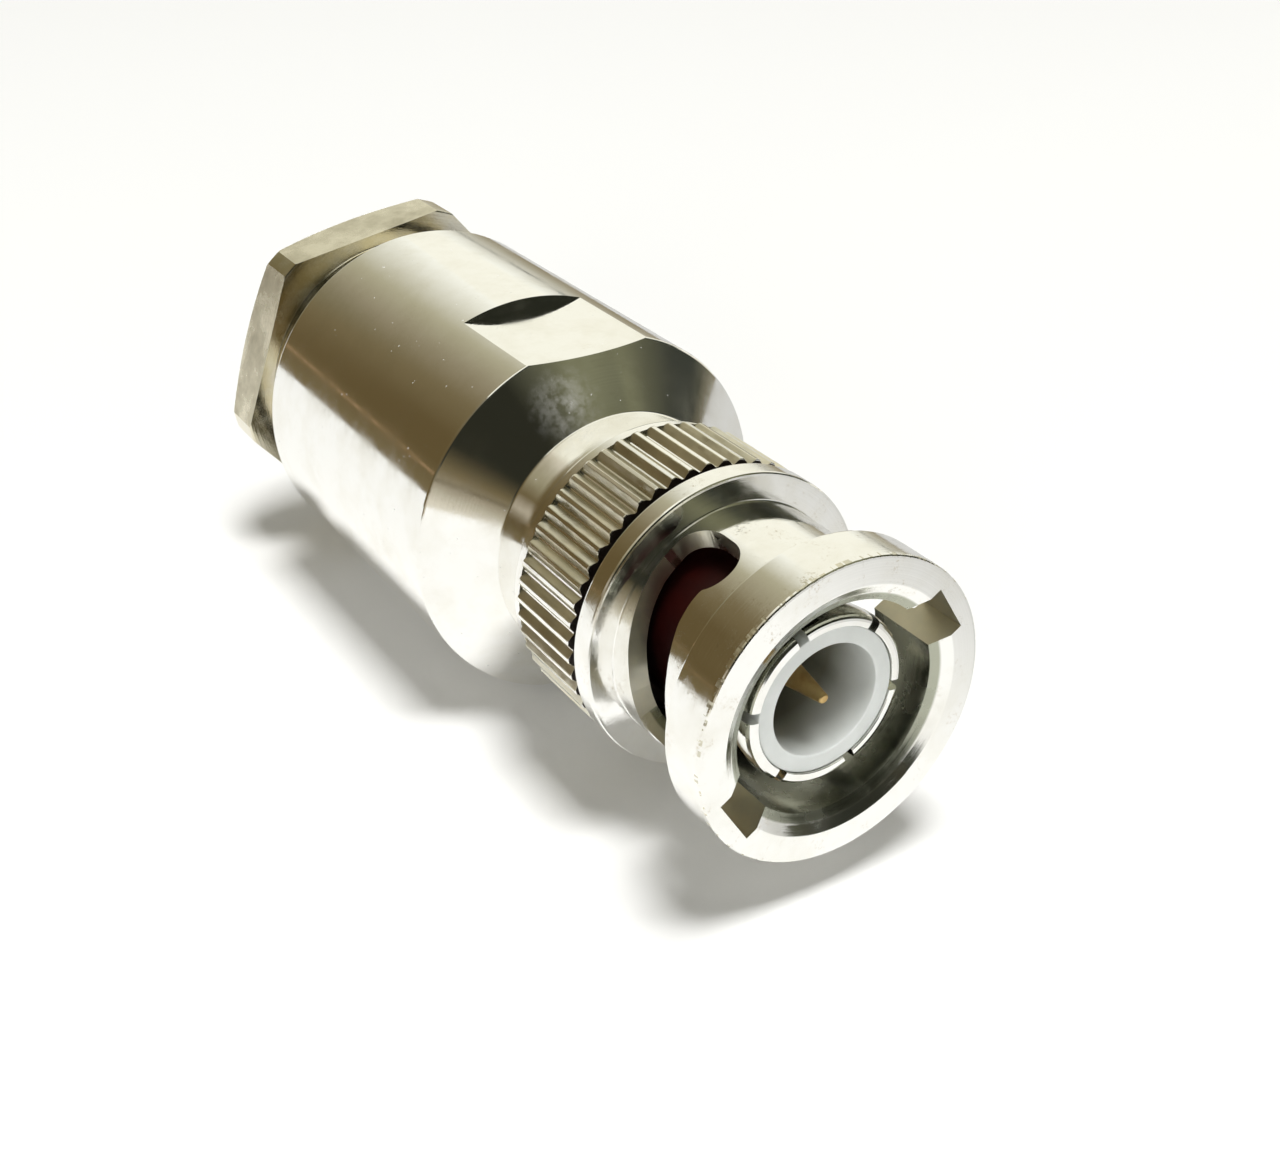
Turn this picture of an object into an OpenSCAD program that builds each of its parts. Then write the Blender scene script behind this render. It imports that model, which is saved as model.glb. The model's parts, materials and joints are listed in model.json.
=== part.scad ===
// Bayonet coaxial plug of the cable-clamp type, for a cable of about 10.3 mm.
// Millimetres. It lies on its side: +X points out of the mating end, +Z is up,
// and the origin is under the middle of the plug, on the surface it lies on.
// Every turned piece is drawn by its distance s behind the coupling nut's front
// face. Angles run from the top of the plug, clockwise as seen from the mating end.

/* [Coupling nut] */
// Radius of the ring round the mouth
ring_r = 7.25; // [7.0:0.05:7.6]
// Length of the ring round the mouth
ring_len = 2.46; // [2.0:0.02:3.0]
// Radius of the barrel that carries the cam slots
barrel_r = 6.0; // [5.8:0.05:6.3]
// Radius of the bore that takes the mating shell
bore_r = 5.05; // [4.95:0.01:5.15]
// Radius of the countersunk mouth at the front face
mouth_r = 5.94; // [5.5:0.02:6.1]
// Radius of the plain flange in front of the knurl
flange_r = 7.33; // [7.0:0.01:7.6]
// Radius over the knurl
knurl_r = 7.3; // [7.0:0.01:7.6]
// Number of knurl teeth
knurl_teeth = 50; // [40:1:60]
// Depth of the knurl grooves
knurl_depth = 0.3; // [0.15:0.01:0.4]
// Width of a knurl groove at the surface
knurl_gap = 0.7; // [0.4:0.01:0.75]

/* [Bayonet slots] */
// Angle of the entry notch
notch_deg = -122; // [-180:1:180]
// Width of the entry notch
notch_w = 2.6; // [2.3:0.05:3.0]
// Radius to the floor of the notch in the front ring
notch_r = 6.4; // [6.2:0.05:6.7]
// Turn from the notch to the detent
lock_deg = 93.2; // [85:0.1:100]
// Radius of the detent pocket
pocket_r = 1.45; // [1.2:0.05:1.6]
// Distance of the front of the pocket from the front face
pocket_s = 4.52; // [4.2:0.01:5.0]
// Distance of the back of the pocket from the front face
pocket_end_s = 8.1; // [7.6:0.05:8.3]

/* [Contacts and insulators] */
// Outer radius of the spring fingers at their bead
finger_r = 4.09; // [4.0:0.01:4.15]
// Radius of the sleeve behind the bead
sleeve_r = 3.82; // [3.75:0.01:3.9]
// Bore radius of the outer contact
sleeve_bore_r = 3.5; // [3.4:0.01:3.6]
// Number of slits that part the fingers
slits = 6; // [4:1:8]
// Width of each slit
slit_w = 0.5; // [0.3:0.05:0.7]
// Angle of the first slit
slit_deg = 37.2; // [0:0.1:60]
// Radius of the centre pin
pin_r = 0.675; // [0.65:0.005:0.7]
// Radius of the socket in the front insulator
socket_r = 2.68; // [2.5:0.01:2.9]

/* [Body] */
// Radius of the grip cylinder
body_r = 9.55; // [9.2:0.05:10]
// Radius of the neck behind the coupling nut
neck_r = 6.45; // [6.0:0.05:7.0]
// Distance from the front face to the start of the cone
cone_s = 18.2; // [17.5:0.1:19]
// Distance from the front face to the end of the cone
grip_s = 20.42; // [19.5:0.1:21.5]
// Distance from the front face to the rear of the body
body_end_s = 38.97; // [37:0.1:41]
// Distance of each wrench flat from the axis
flat_r = 8.95; // [8.6:0.05:9.3]
// Distance from the front face to the rear end of the wrench flats
flat_end_s = 26.8; // [25:0.1:29]

/* [Cable clamp] */
// Radius of the thread on the clamp nut
thread_r = 8.0; // [7.7:0.05:8.3]
// Radius of the cable bore
cable_r = 5.4; // [5.2:0.05:5.6]
// Width across the flats of the clamp nut
nut_af = 17.5; // [17:0.1:18]
// Radius to which the corners of the hexagon are turned
nut_corner_r = 9.85; // [9.5:0.05:10.1]
// Angle of one corner of the hexagon
nut_deg = 20; // [0:1:59]
// Distance from the front face to the hexagon
nut_s = 42.3; // [41:0.1:44]
// Overall length
overall = 45.7; // [44:0.1:47]

/* [Hidden] */
$fn = 96;
front_x = overall / 2;

// coupling nut, from front to rear
flange_s = 8.45;
flange_end_s = 9.6;
knurl_s = 10.25;
knurl_end_s = 14.6;
nut_end_s = 15.5;
lip_s = 13.5;
hub_r = 3.95;
lip_r = hub_r + 0.08;

// cam slot: [turn from the notch, front edge, rear edge]
notch_end_s = 6.93;
slot_in_r = 4.4;
slot_out_r = 6.35;
cam = [[5, 4.04, 6.9], [14, 4.08, 6.95], [24, 4.18, 7.02], [35, 4.33, 7.18],
       [46, 4.5, 7.45], [57, 4.76, 7.68], [67, 5.0, 7.86], [76, 5.07, 8.0],
       [85, 5.03, 8.05]];

// the shoulder that carries the springs, and the spring stack behind it
shoulder_s = 10.9;
shoulder_end_s = 11.9;
shoulder_r = 4.9;
tip_s = 1.1;
socket_end_s = 6.2;
stem_s = 6.25;
stem_r = 1.0;
spring_t = 0.2;
spring_wave = 0.165;
spring_s = 12.23;
spring_pitch = 0.56;
washer_s = 13.1;
washer_t = 0.35;

// inside the body
core_end_s = 18.5;
disc_end_s = 20.8;
disc_r = 4.6;
seat_s = 22.0;
seat_end_s = 23.6;
chamber_r = 7.4;
thread_s = 30.4;
gasket_s = 26.7;
gasket_end_s = 31.0;
clamp_washer_s = 32.2;
clamp_nut_s = 33.2;

// local Z runs rearward along the axis, local X points up
module on_axis() {
  translate([front_x, 0, body_r]) rotate([0, -90, 0]) children();
}

module turned(profile) {
  rotate_extrude() polygon(profile);
}

// a ring of inner radius a and outer radius b, from s = from to s = to
module ring(a, b, from, to) {
  turned([[a, from], [b, from], [b, to], [a, to]]);
}

// a prism that cuts radially outward at an angle; its outline is [across, s]
module radial_cut(deg, r0, r1, outline) {
  rotate([0, 0, deg]) translate([r0, 0, 0]) rotate([90, 0, 90])
    linear_extrude(r1 - r0) polygon(outline);
}

module radial_hole(deg, s, r, r0, r1) {
  rotate([0, 0, deg]) translate([r0, 0, s]) rotate([0, 90, 0])
    cylinder(r = r, h = r1 - r0);
}

// the stretch of a cam slot between two rows of the table
module ramp(first, last) {
  mid = (cam[first][0] + cam[last][0]) / 2;
  over_r = barrel_r + 0.25;
  radial_cut(mid, slot_in_r, slot_out_r, concat(
    [for (i = [first : last]) [over_r * sin(cam[i][0] - mid), cam[i][1]]],
    [for (i = [last : -1 : first]) [over_r * sin(cam[i][0] - mid), cam[i][2]]]));
}

// the pocket that holds the lug when the plug is locked
module detent() {
  front = pocket_s + pocket_r;
  rear = pocket_end_s - pocket_r;
  radial_cut(lock_deg, slot_in_r, slot_out_r, concat(
    [for (t = [-60 : 10 : 90]) [pocket_r * sin(t), front - pocket_r * cos(t)]],
    [for (t = [90 : -10 : -60]) [pocket_r * sin(t), rear + pocket_r * cos(t)]]));
}

// one bayonet slot: entry notch, ramp and detent pocket
module cam_slot() {
  rotate([0, 0, notch_deg]) {
    translate([slot_in_r, -notch_w / 2, -1])
      cube([notch_r - slot_in_r, notch_w, 1 + notch_end_s]);
    ramp(0, 4);
    ramp(4, 8);
    detent();
  }
}

// V grooves with a narrow flat floor, drawn on a little past the surface. They stop
// short of the rear edge and leave a plain rim.
module knurl_grooves() {
  over = 0.06;
  low = 0.04;
  high = low + (knurl_gap / 2 - low) * (1 + over / knurl_depth);
  for (k = [0 : knurl_teeth - 1])
    rotate([0, 0, 360 * (k + 0.5) / knurl_teeth])
      translate([0, 0, knurl_s - 0.2])
        linear_extrude(knurl_end_s - knurl_s + 0.2)
          polygon([[knurl_r - knurl_depth, -low], [knurl_r + over, -high],
                   [knurl_r + over, high], [knurl_r - knurl_depth, low]]);
}

module coupling_nut() {
  color("silver") on_axis() difference() {
    turned([[mouth_r, 0], [ring_r - 0.2, 0], [ring_r, 0.2], [ring_r, ring_len - 0.1],
            [ring_r - 0.1, ring_len], [barrel_r, ring_len], [barrel_r, flange_s],
            [flange_r - 0.15, flange_s], [flange_r, flange_s + 0.15],
            [flange_r, flange_end_s - 0.12], [flange_r - 0.12, flange_end_s],
            [6.7, flange_end_s], [6.7, knurl_s - 0.1], [knurl_r - 0.1, knurl_s - 0.1],
            [knurl_r, knurl_s], [knurl_r, nut_end_s - 0.12],
            [knurl_r - 0.12, nut_end_s], [lip_r, nut_end_s], [lip_r, lip_s],
            [bore_r, lip_s], [bore_r, 0.5]]);
    for (side = [0, 180]) rotate([0, 0, side]) cam_slot();
    knurl_grooves();
  }
}

module outer_contact() {
  bead = 0.62;
  color("gainsboro") on_axis() difference() {
    rotate_extrude() difference() {
      union() {
        polygon([[0, tip_s], [3.72, tip_s], [sleeve_r, tip_s + 0.1],
                 [sleeve_r, shoulder_s], [shoulder_r - 0.1, shoulder_s],
                 [shoulder_r, shoulder_s + 0.1], [shoulder_r, shoulder_end_s],
                 [hub_r, shoulder_end_s], [hub_r, core_end_s], [0, core_end_s]]);
        intersection() {
          translate([finger_r - bead, tip_s + bead]) circle(r = bead);
          translate([0, tip_s]) square([finger_r, 2]);
        }
        polygon([[3, tip_s + bead], [finger_r, tip_s + bead],
                 [sleeve_r, tip_s + 2.4], [3, tip_s + 2.4]]);
      }
      translate([0, tip_s - 1]) square([sleeve_bore_r, core_end_s]);
      translate([0, core_end_s - 2]) square([sleeve_bore_r, 4]);
    }
    for (k = [0 : slits - 1])
      rotate([0, 0, slit_deg + 360 * k / slits])
        translate([2, -slit_w / 2, 0]) cube([3, slit_w, 6.5]);
  }
}

module front_gasket() {
  color("maroon") on_axis()
    turned([[sleeve_r + 0.02, 5.4], [4.0, 5.4], [4.05, 5.5], [4.05, 9.4],
            [4.7, 9.4], [4.86, 9.56], [4.86, shoulder_s - 0.02],
            [sleeve_r + 0.02, shoulder_s - 0.02]]);
}

module front_insulator() {
  color("white") on_axis()
    turned([[socket_r, 1.2], [sleeve_bore_r - 0.02, 1.2], [sleeve_bore_r - 0.02, 16],
            [stem_r + 0.02, 16], [stem_r + 0.02, socket_end_s],
            [socket_r, socket_end_s]]);
}

module rear_insulator() {
  color("white") on_axis()
    turned([[2.25, 16.05], [sleeve_bore_r - 0.02, 16.05],
            [sleeve_bore_r - 0.02, core_end_s + 0.02], [disc_r, core_end_s + 0.02],
            [disc_r, disc_end_s], [1.65, disc_end_s], [1.65, 17.25], [2.25, 17.25]]);
}

module centre_contact() {
  tip_r = 0.22;
  color("gold") on_axis() difference() {
    rotate_extrude() {
      intersection() {
        translate([0, 1.29 + tip_r]) circle(r = tip_r);
        translate([0, 1]) square([1, 1]);
      }
      polygon([[0, 1.29 + tip_r], [tip_r, 1.29 + tip_r], [pin_r - 0.02, 4.0],
               [pin_r, 4.3], [pin_r, stem_s], [stem_r, stem_s], [stem_r, 16.02],
               [2.2, 16.02], [2.2, 17.2], [1.6, 17.2], [1.6, 22.8], [1.15, 22.8],
               [1.15, 18.2], [0, 17.6]]);
    }
    radial_hole(0, 18.9, 0.4, 0, 3);
  }
}

// a ring of flat strip with three waves
module wave_spring(mid, turn) {
  steps = 48;
  a = 4.06;
  b = 4.92;
  pts = [for (i = [0 : steps - 1]) let (t = 360 * i / steps,
           s = mid + spring_wave * cos(3 * t + turn))
           for (p = [[a, -0.5], [b, -0.5], [b, 0.5], [a, 0.5]])
             [p[0] * cos(t), p[0] * sin(t), s + p[1] * spring_t]];
  faces = [for (i = [0 : steps - 1]) for (j = [0 : 3])
             let (n = 4 * ((i + 1) % steps), m = 4 * i, k = (j + 1) % 4)
               [m + j, n + j, n + k, m + k]];
  polyhedron(pts, faces);
}

module wave_spring_front() {
  color("darkgray") on_axis() wave_spring(spring_s, 0);
}

module wave_spring_rear() {
  color("darkgray") on_axis() wave_spring(spring_s + spring_pitch, 180);
}

module thrust_washer() {
  color("khaki") on_axis()
    ring(hub_r + 0.05, bore_r - 0.1, washer_s, washer_s + washer_t);
}

module body() {
  color("silver") on_axis() difference() {
    turned([[0, 15.7], [neck_r - 0.15, 15.7], [neck_r, 15.85], [neck_r, cone_s],
            [body_r - 0.12, grip_s], [body_r, grip_s + 0.12],
            [body_r, body_end_s - 0.3], [body_r - 0.3, body_end_s],
            [0, body_end_s]]);
    turned([[0, 14], [hub_r + 0.02, 14], [hub_r + 0.02, core_end_s],
            [disc_r + 0.02, core_end_s], [disc_r + 0.02, disc_end_s + 0.02],
            [5.6, disc_end_s + 0.02], [5.6, seat_s], [chamber_r, seat_end_s],
            [chamber_r, thread_s], [thread_r + 0.05, thread_s],
            [thread_r + 0.05, body_end_s - 0.4], [thread_r + 0.35, body_end_s - 0.1],
            [thread_r + 0.35, body_end_s + 1], [0, body_end_s + 1]]);
    for (side = [0, 180]) rotate([0, 0, side])
      translate([flat_r, -body_r, cone_s - 1])
        cube([body_r, 2 * body_r, flat_end_s - cone_s + 1]);
  }
}

module braid_clamp() {
  ridge_r = 6.3;
  color("silver") on_axis()
    turned([[4.4, 22.4], [5.7, 22.4], [chamber_r - 0.1, 23.85],
            [chamber_r - 0.1, gasket_s - 0.1], [ridge_r + 0.6, gasket_s - 0.1],
            [ridge_r, gasket_s + 0.9], [ridge_r - 0.6, gasket_s - 0.1],
            [4.8, gasket_s - 0.1], [4.4, gasket_s - 0.5]]);
}

module cable_gasket() {
  ridge_r = 6.3;
  color("dimgray") on_axis()
    turned([[cable_r, gasket_s], [ridge_r - 0.7, gasket_s], [ridge_r, gasket_s + 1.15],
            [ridge_r + 0.7, gasket_s], [chamber_r - 0.1, gasket_s],
            [chamber_r - 0.1, gasket_end_s], [cable_r, gasket_end_s]]);
}

module clamp_washer() {
  color("khaki") on_axis()
    ring(cable_r + 0.3, chamber_r - 0.1, clamp_washer_s, clamp_nut_s - 0.05);
}

module clamp_nut() {
  flat = nut_af / 2;
  corner = flat / cos(30);
  bevel_r = 8.5;
  color("silver") on_axis() difference() {
    union() {
      turned([[0, clamp_nut_s], [thread_r - 0.4, clamp_nut_s],
              [thread_r, clamp_nut_s + 0.4], [thread_r, nut_s + 0.5], [0, nut_s + 0.5]]);
      intersection() {
        translate([0, 0, nut_s]) linear_extrude(overall - nut_s)
          polygon([for (k = [0 : 5]) [corner * cos(nut_deg + 60 * k),
                                      corner * sin(nut_deg + 60 * k)]]);
        turned([[0, nut_s], [nut_corner_r - 0.1, nut_s], [nut_corner_r, nut_s + 0.1],
                [nut_corner_r, overall - (nut_corner_r - bevel_r) * tan(30)],
                [bevel_r, overall], [0, overall]]);
      }
    }
    turned([[0, clamp_nut_s - 1], [cable_r, clamp_nut_s - 1], [cable_r, overall - 0.5],
            [cable_r + 0.5, overall], [cable_r + 0.5, overall + 1], [0, overall + 1]]);
  }
}

body();
outer_contact();
front_gasket();
front_insulator();
rear_insulator();
centre_contact();
coupling_nut();
thrust_washer();
wave_spring_front();
wave_spring_rear();
braid_clamp();
cable_gasket();
clamp_washer();
clamp_nut();
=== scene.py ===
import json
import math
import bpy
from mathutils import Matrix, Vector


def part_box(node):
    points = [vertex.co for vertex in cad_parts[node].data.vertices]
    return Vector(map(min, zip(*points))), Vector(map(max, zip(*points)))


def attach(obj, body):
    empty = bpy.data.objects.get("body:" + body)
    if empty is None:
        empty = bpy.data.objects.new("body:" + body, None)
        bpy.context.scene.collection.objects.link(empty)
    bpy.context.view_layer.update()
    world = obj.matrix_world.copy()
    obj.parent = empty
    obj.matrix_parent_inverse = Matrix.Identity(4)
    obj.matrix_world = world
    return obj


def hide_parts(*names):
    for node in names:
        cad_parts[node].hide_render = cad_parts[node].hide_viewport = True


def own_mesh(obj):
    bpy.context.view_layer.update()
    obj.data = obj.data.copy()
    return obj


bl_info = {
    "name": "Bayonet Coaxial Plug",
    "version": (1, 0, 0),
    "blender": (4, 5, 0),
    "location": "View3D > Sidebar > Plug",
    "description": "Dresses a cable-clamp bayonet plug in plated metal, gold, PTFE and silicone",
    "category": "Object",
}

import bmesh
import bpy
from bpy.props import FloatProperty, FloatVectorProperty, IntProperty, PointerProperty
from bpy.types import Operator, Panel, PropertyGroup
import mathutils
from mathutils import Matrix, Vector

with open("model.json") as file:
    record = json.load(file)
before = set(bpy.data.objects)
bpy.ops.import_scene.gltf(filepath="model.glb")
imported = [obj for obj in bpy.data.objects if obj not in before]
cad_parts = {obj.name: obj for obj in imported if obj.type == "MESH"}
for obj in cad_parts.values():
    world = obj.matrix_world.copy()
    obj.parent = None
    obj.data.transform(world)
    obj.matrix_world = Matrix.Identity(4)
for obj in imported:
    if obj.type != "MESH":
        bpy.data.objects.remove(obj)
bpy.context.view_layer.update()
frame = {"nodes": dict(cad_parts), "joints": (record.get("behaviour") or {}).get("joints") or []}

# Places along the plug are given as s, the distance behind the coupling nut's
# front face, and angles run clockwise from the top as seen from the mating end.
JOINTS = {joint["name"]: joint for joint in frame["joints"]}
FRONT_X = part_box("coupling_nut")[1][0]
AXIS_Z = JOINTS["nut_turn"]["pos_m"][2]
NUT_END = FRONT_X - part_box("coupling_nut")[0][0]
BODY_START = FRONT_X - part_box("body")[1][0]
BODY_END = FRONT_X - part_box("body")[0][0]
GRIP_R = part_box("body")[1][1]
OVERALL = FRONT_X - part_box("clamp_nut")[0][0]
THREAD_START = FRONT_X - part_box("clamp_nut")[1][0]
TIP = FRONT_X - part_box("outer_contact")[1][0]
CORE_END = FRONT_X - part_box("outer_contact")[0][0]
SHOULDER_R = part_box("outer_contact")[1][1]
PIN_TIP = FRONT_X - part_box("centre_contact")[1][0]
PIN_END = FRONT_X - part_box("centre_contact")[0][0]
SOCKET_FACE = FRONT_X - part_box("front_insulator")[1][0]
SOCKET_BACK = FRONT_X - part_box("front_insulator")[0][0]
GASKET_START = FRONT_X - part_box("front_gasket")[1][0]
GASKET_END = FRONT_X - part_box("front_gasket")[0][0]
GASKET_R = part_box("front_gasket")[1][1]
MM = 0.001
# The soft edge of a knurl tooth, and the end of the nicks on the nut's front edge.
EDGE = 0.035 * MM
NICK_END = 0.3 * MM
# Steps round the largest turned pieces.
FULL_STEPS = 288
# The gap left round a piece that sits in another.
CLEAR = 0.02 * MM
# The clamp thread's depth as a share of its pitch.
THREAD_DEPTH = 0.61


def length(label, words, millimetres):
    """A size given in millimetres and kept in metres."""
    return FloatProperty(name=label, description=words, default=millimetres * MM,
                         unit="LENGTH", precision=5)


def angle(label, words, degrees):
    """An angle given in degrees and kept in radians."""
    return FloatProperty(name=label, description=words, default=math.radians(degrees),
                         subtype="ANGLE")


def tint(label, words, rgb):
    """A linear colour."""
    return FloatVectorProperty(name=label, description=words, default=rgb, size=3,
                               min=0.0, max=1.0, subtype="COLOR")


def level(label, words, default, high=1.0):
    """A plain number from zero up."""
    return FloatProperty(name=label, description=words, default=default, min=0.0,
                         soft_max=high)


class PlugNutSizes(PropertyGroup):
    ring_r: length("Ring radius", "Radius of the ring round the mouth", 7.25)
    ring_len: length("Ring length", "Length of the ring round the mouth", 2.46)
    barrel_r: length("Barrel radius", "Radius of the slotted barrel", 6.0)
    bore_r: length("Bore radius", "Radius of the bore", 5.05)
    mouth_r: length("Mouth radius", "Radius of the countersunk mouth", 5.94)
    flange_r: length("Flange radius", "Radius of the plain flange", 7.33)
    flange_s: length("Flange front", "Place of the flange's front face", 8.45)
    flange_end: length("Flange back", "Place of the flange's back face", 9.6)
    groove_r: length("Groove radius", "Floor of the groove by the knurl", 6.7)
    knurl_s: length("Knurl start", "Place where the knurl starts", 10.25)
    knurl_end: length("Knurl end", "Place where the teeth end", 14.75)
    rim_r: length("Rim radius", "Radius of the plain rim behind the teeth", 7.06)
    knurl_r: length("Knurl radius", "Radius over the knurl", 7.3)
    knurl_depth: length("Knurl depth", "Depth of a knurl groove", 0.3)
    knurl_gap: length("Knurl gap", "Width of a knurl groove at the top", 0.7)
    knurl_floor: length("Knurl floor", "Width of a knurl groove's floor", 0.08)
    teeth: IntProperty(name="Teeth", description="Number of knurl teeth", default=50)
    lip_s: length("Lip front", "Place of the inner lip's front face", 13.5)
    lip_r: length("Lip radius", "Radius of the hole in the lip", 4.03)
    notch_w: length("Notch width", "Width of a lug notch", 2.6)
    notch_r: length("Notch radius", "Radius to the notch's floor", 6.4)
    notch_end: length("Notch end", "Place of the notch's back wall", 6.93)
    notch_at: angle("Notch angle", "Angle of the first notch", -122.0)
    lock_turn: angle("Lock turn", "Turn from the notch to the detent", 93.2)
    pocket_r: length("Pocket radius", "Radius of the detent pocket", 1.45)
    pocket_s: length("Pocket front", "Place of the pocket's front", 4.52)
    pocket_end: length("Pocket back", "Place of the pocket's back", 8.1)


class PlugCoreSizes(PropertyGroup):
    finger_r: length("Finger radius", "Radius over the fingers' bead", 4.09)
    sleeve_r: length("Sleeve radius", "Radius behind the bead", 3.82)
    sleeve_bore: length("Sleeve bore", "Bore of the outer contact", 3.5)
    hub_r: length("Hub radius", "Radius of the hub the nut turns on", 3.95)
    shoulder_s: length("Shoulder front", "Place of the shoulder's front", 10.9)
    shoulder_end: length("Shoulder back", "Place of the shoulder's back", 11.9)
    slits: IntProperty(name="Slits", description="Slits between the fingers", default=6)
    slit_w: length("Slit width", "Width of a slit", 0.5)
    slit_end: length("Slit end", "Place where the slits end", 6.5)
    slit_at: angle("Slit angle", "Angle of the first slit", 37.2)
    socket_r: length("Socket radius", "Radius of the white cup", 2.68)
    socket_end: length("Socket floor", "Place of the cup's floor", 6.2)
    pin_r: length("Pin radius", "Radius of the centre pin", 0.675)
    stem_r: length("Stem radius", "Radius of the pin's stem", 1.0)
    stem_s: length("Stem start", "Place where the stem starts", 6.25)


class PlugSpringSizes(PropertyGroup):
    inner_r: length("Inner radius", "Inner radius of a wave spring", 4.06)
    outer_r: length("Outer radius", "Outer radius of a wave spring", 4.92)
    strip: length("Strip", "Thickness of the strip", 0.2)
    wave: length("Wave", "Height of a wave above the middle", 0.165)
    place_s: length("Place", "Place of the front spring's middle", 12.23)
    pitch: length("Pitch", "Distance between the springs", 0.56)
    steps: IntProperty(name="Steps", description="Steps round a spring", default=96)
    squeezed: level("Squeezed", "Share of their room left when the nut is pulled", 0.5)


class PlugBodySizes(PropertyGroup):
    neck_r: length("Neck radius", "Radius of the neck", 6.45)
    cone_s: length("Cone start", "Place where the cone starts", 18.2)
    grip_s: length("Grip start", "Place where the grip starts", 20.42)
    flat_r: length("Flat distance", "Distance of a wrench flat from the axis", 8.95)
    flat_end: length("Flat end", "Place where the wrench flats end", 26.8)
    disc_r: length("Disc bore", "Bore that holds the rear insulator", 4.62)
    disc_end: length("Disc end", "Place of that bore's end", 20.82)
    inside_r: length("Inside radius", "Radius of the space behind the disc", 5.6)
    inside_end: length("Inside end", "Place where that space starts to widen", 22.0)
    chamber_s: length("Chamber start", "Place where the clamp's chamber starts", 23.6)
    chamber_r: length("Chamber bore", "Bore of the clamp's chamber", 7.4)
    thread_r: length("Thread radius", "Radius over the clamp nut's thread", 8.0)
    thread_s: length("Thread bore", "Place where the threaded bore starts", 30.4)
    thread_end: length("Thread end", "Place where the clamp nut's thread ends", 38.6)
    pitch: length("Pitch", "Pitch of the clamp thread", 1.0)
    cable_r: length("Cable bore", "Radius of the cable bore", 5.4)
    across: length("Across flats", "Clamp nut's width across flats", 17.5)
    corner_r: length("Corner radius", "Radius the corners are turned to", 9.85)
    bevel_r: length("Bevel radius", "Radius where the end's bevel starts", 8.5)
    hex_s: length("Hexagon front", "Place of the hexagon's front", 42.3)
    hex_at: angle("Hexagon angle", "Angle of one corner", 20.0)


class PlugFinish(PropertyGroup):
    nickel: tint("Nickel", "Bright nickel plate", (0.93, 0.925, 0.90))
    nickel_dull: tint("Dull nickel", "Nickel where it is faintly stained", (0.87, 0.855, 0.80))
    nickel_stained: tint("Stained nickel", "Nickel of the clamp nut", (0.77, 0.72, 0.57))
    nickel_deep: tint("Deep stain", "Clouds on the hexagon", (0.5, 0.46, 0.34))
    nickel_cut: tint("Cut nickel", "Nickel in the milled slots", (0.66, 0.64, 0.54))
    pits: tint("Pits", "Floor of a pit in the plate", (0.46, 0.36, 0.2))
    # painted shade: nickel inside the coupling nut's bore, darker than the plate outside
    bore: tint("Bore", "Nickel in the coupling nut's bore", (0.42, 0.43, 0.35))
    # painted shade in the narrow groove before the knurl
    groove_shade: tint("Polish", "Dark polish left in the groove", (0.13, 0.11, 0.1))
    gold: tint("Gold", "Gold plate of the centre contact", (0.62, 0.44, 0.19))
    ptfe: tint("PTFE", "White insulator", (0.85, 0.88, 0.86))
    ptfe_shade: tint("PTFE shade", "Clouds on the insulator", (0.80, 0.83, 0.81))
    # painted shade: the insulator darker deep in the cup
    ptfe_cup_shade: tint("PTFE depth", "Insulator at the cup's floor", (0.24, 0.24, 0.19))
    silicone: tint("Silicone", "Dark red gasket", (0.022, 0.0025, 0.002))
    silicone_shade: tint("Silicone shade", "Clouds on the gasket", (0.014, 0.002, 0.0018))
    rubber: tint("Rubber", "Black cable gasket", (0.02, 0.02, 0.02))
    rubber_shade: tint("Rubber shade", "Clouds on the cable gasket", (0.03, 0.03, 0.03))
    brass: tint("Brass", "Bare brass washers", (0.72, 0.50, 0.22))
    bronze: tint("Bronze", "Spring strip", (0.62, 0.38, 0.20))
    floor: tint("Floor", "Pale floor", (0.95, 0.95, 0.935))


class PlugStage(PropertyGroup):
    lens: FloatProperty(name="Lens", description="Focal length in mm", default=46.9)
    eye: FloatVectorProperty(name="Eye", size=3, unit="LENGTH",
                             description="Camera, from the middle of the front face",
                             default=(43.49 * MM, -37.42 * MM, 39.48 * MM))
    look: FloatVectorProperty(name="Look", size=3, description="Viewing direction",
                              default=(-0.730, 0.461, -0.505), subtype="DIRECTION")
    key: level("Key", "Power of the soft lamp overhead", 20.0, 40.0)
    fill: level("Fill", "Power of the soft lamp in front", 0.3, 10.0)
    sky: level("Sky", "Level of the even light all round", 0.17, 2.0)
    sky_tint: tint("Sky tint", "Warm white of the even light", (1.0, 0.985, 0.86))
    lift: level("Lift", "What the floor adds towards white", 0.03, 1.0)


# ---------------------------------------------------------------- shapes


def place(r, turn, s):
    """The point at radius r, angle turn and distance s behind the front face."""
    return Vector((FRONT_X - s, r * math.sin(turn), AXIS_Z + r * math.cos(turn)))


def rounded(outline, steps=3):
    """Rounds the corners (r, s, break in mm) of a closed outline; (r, s) stays sharp."""
    out = []
    count = len(outline)
    for i, corner in enumerate(outline):
        here = Vector(corner[:2])
        if len(corner) < 3:
            out.append(here)
            continue
        before = Vector(outline[i - 1][:2]) - here
        after = Vector(outline[(i + 1) % count][:2]) - here
        reach = min(corner[2] * MM, before.length * 0.49, after.length * 0.49)
        start = here + before.normalized() * reach
        end = here + after.normalized() * reach
        for k in range(steps + 1):
            u = k / steps
            out.append(start * (1 - u) ** 2 + here * 2 * u * (1 - u) + end * u ** 2)
    return out


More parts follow.
